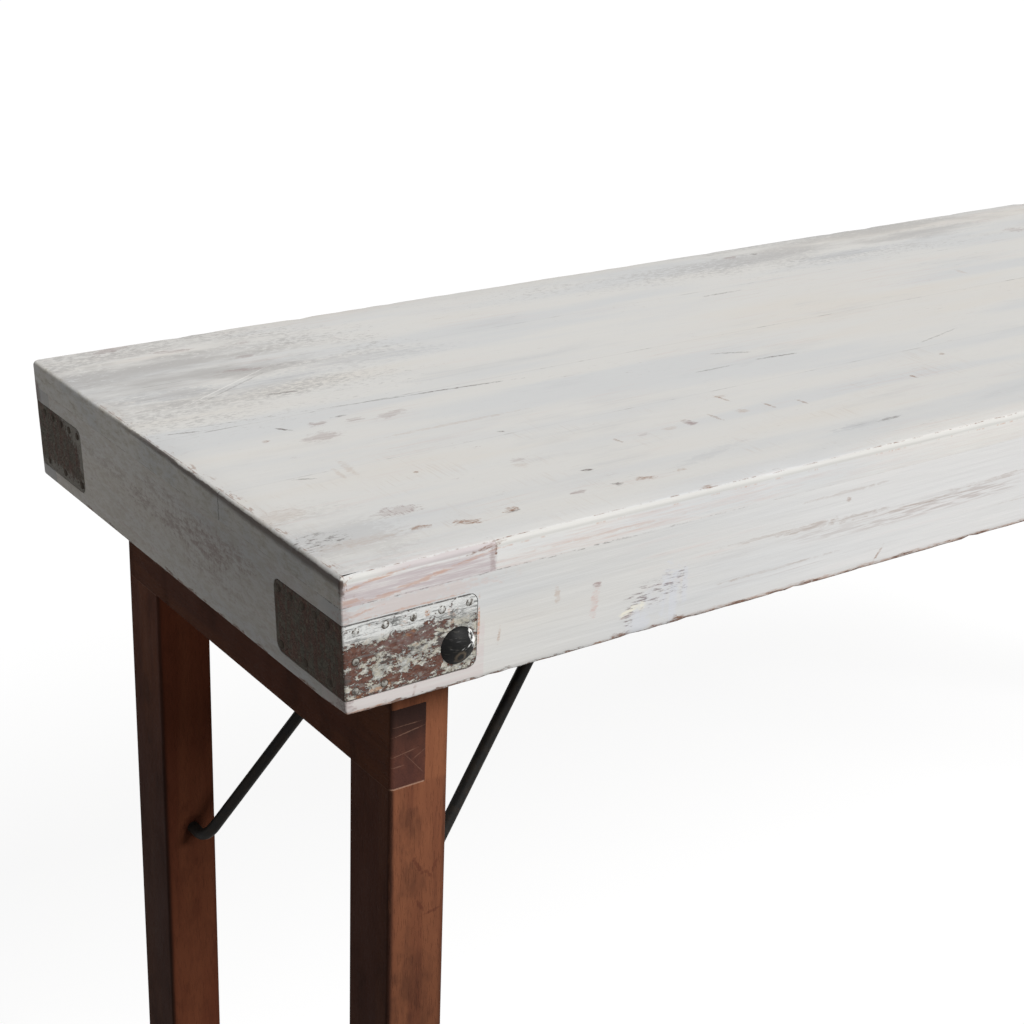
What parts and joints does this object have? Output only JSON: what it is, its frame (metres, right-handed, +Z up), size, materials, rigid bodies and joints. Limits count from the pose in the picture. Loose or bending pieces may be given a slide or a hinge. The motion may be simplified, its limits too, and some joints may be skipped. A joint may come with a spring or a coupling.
{
  "type": "folding console table",
  "caption": "Long narrow plank-topped table with deep aprons and iron corner straps, on two hinged wooden leg frames that fold flat under the top on hooked iron stays.",
  "frame": {"origin": "on the floor under the middle of the table top, at the bottom centre of the object's box", "axes": "+X along the table towards its right end, +Y from the front to the rear, +Z up"},
  "size_m": [1.7996, 0.473, 0.77],
  "materials": {
    "white_paint_wood": "worn grey-white wash paint over brown wood, waxed, low sheen",
    "red_stain_wood": "dark red-brown stain with a low satin sheen",
    "bare_wood": "sawn, unpainted",
    "strap_iron": "old mild iron, flaking white paint over rust",
    "black_iron": "black, satin, chipped",
    "nail_iron": "dull, painted over in part",
    "zinc_steel": "dull zinc"
  },
  "bodies": {
    "tabletop": {"top_plank_front": "white_paint_wood", "top_plank_mid_front": "white_paint_wood", "top_plank_mid_rear": "white_paint_wood", "top_plank_rear": "white_paint_wood", "edge_repair_piece": "white_paint_wood", "apron_front": "white_paint_wood", "apron_rear": "white_paint_wood", "apron_left": "white_paint_wood", "apron_right": "white_paint_wood", "corner_strap_front_left": "strap_iron", "corner_strap_front_right": "strap_iron", "corner_strap_rear_left": "strap_iron", "corner_strap_rear_right": "strap_iron", "strap_nails": "nail_iron", "plank_nails": "zinc_steel", "pivot_bolts": "black_iron", "leg_spacers": "zinc_steel", "nut_washers": "zinc_steel", "pivot_nuts": "zinc_steel", "batten_left": "bare_wood", "batten_middle": "bare_wood", "batten_right": "bare_wood", "batten_screws": "zinc_steel", "stay_catch_left": "black_iron", "stay_catch_right": "black_iron", "catch_screws": "zinc_steel"},
    "left_leg_frame": {"leg_front_left": "red_stain_wood", "leg_rear_left": "red_stain_wood", "upper_rail_left": "red_stain_wood", "lower_rail_left": "red_stain_wood", "rail_nails_left": "nail_iron"},
    "left_stay": {"stay_rod_left": "black_iron"},
    "right_leg_frame": {"leg_front_right": "red_stain_wood", "leg_rear_right": "red_stain_wood", "upper_rail_right": "red_stain_wood", "lower_rail_right": "red_stain_wood", "rail_nails_right": "nail_iron"},
    "right_stay": {"stay_rod_right": "black_iron"}
  },
  "joints": [
    {"name": "left_leg_fold", "type": "hinge", "parent": "tabletop", "child": "left_leg_frame", "pos_m": [-0.8165, 0, 0.706], "axis": [0, -1, 0], "range_deg": [0, 90]},
    {"name": "left_stay_swing", "type": "hinge", "parent": "left_leg_frame", "child": "left_stay", "pos_m": [-0.8195, 0, 0.381], "axis": [0, 1, 0], "range_deg": [0, 140]},
    {"name": "right_leg_fold", "type": "hinge", "parent": "tabletop", "child": "right_leg_frame", "pos_m": [0.8165, 0, 0.706], "axis": [0, 1, 0], "range_deg": [0, 90]},
    {"name": "right_stay_swing", "type": "hinge", "parent": "right_leg_frame", "child": "right_stay", "pos_m": [0.8195, 0, 0.381], "axis": [0, -1, 0], "range_deg": [0, 140]}
  ],
  "couplings": [
    {"joint": "left_stay_swing", "follows": "left_leg_fold", "ratio": 1.5555},
    {"joint": "right_stay_swing", "follows": "right_leg_fold", "ratio": 1.5555}
  ]
}
